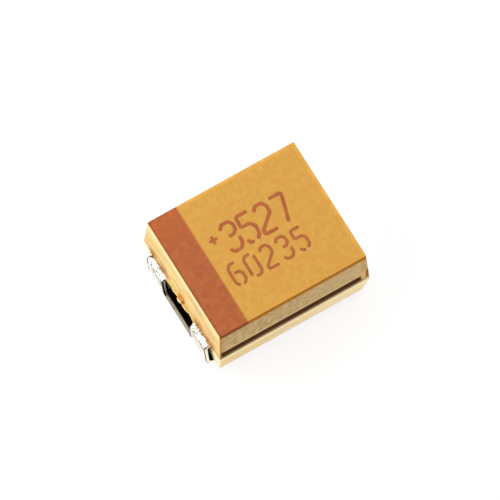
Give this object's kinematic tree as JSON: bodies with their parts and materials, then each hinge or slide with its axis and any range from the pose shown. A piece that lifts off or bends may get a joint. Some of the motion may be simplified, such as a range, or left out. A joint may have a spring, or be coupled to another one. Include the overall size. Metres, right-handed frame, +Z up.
{
  "type": "chip tantalum capacitor",
  "caption": "Surface-mount tantalum capacitor: gold moulded case with a brown polarity band and folded tinned end terminals.",
  "frame": {"origin": "centre of the footprint, in the solder plane under the two terminal feet", "axes": "+Z up through the printed face, the banded anode end faces -X and the cathode end +X"},
  "size_m": [0.0034, 0.0028, 0.0019],
  "materials": {
    "epoxy": "fine matte moulded epoxy, gold",
    "brown_print": "matte brown print",
    "tinned_strip": "rough matte tin plating",
    "tantalum_wire": "drawn tantalum",
    "sintered_tantalum": "pressed and sintered powder",
    "washer": "white fluoropolymer",
    "manganese_dioxide": "matte black oxide coat",
    "graphite": "matte dark grey coat",
    "silver_paint": "matte silver paint",
    "silver_glue": "cured conductive glue"
  },
  "bodies": {
    "root": {"moulded_body": "epoxy", "polarity_band": "brown_print", "value_marking": "brown_print", "anode_terminal": "tinned_strip", "cathode_terminal": "tinned_strip", "anode_wire": "tantalum_wire", "tantalum_anode": "sintered_tantalum", "wire_washer": "washer", "electrolyte_layer": "manganese_dioxide", "graphite_layer": "graphite", "silver_layer": "silver_paint", "silver_adhesive": "silver_glue"}
  },
  "joints": []
}
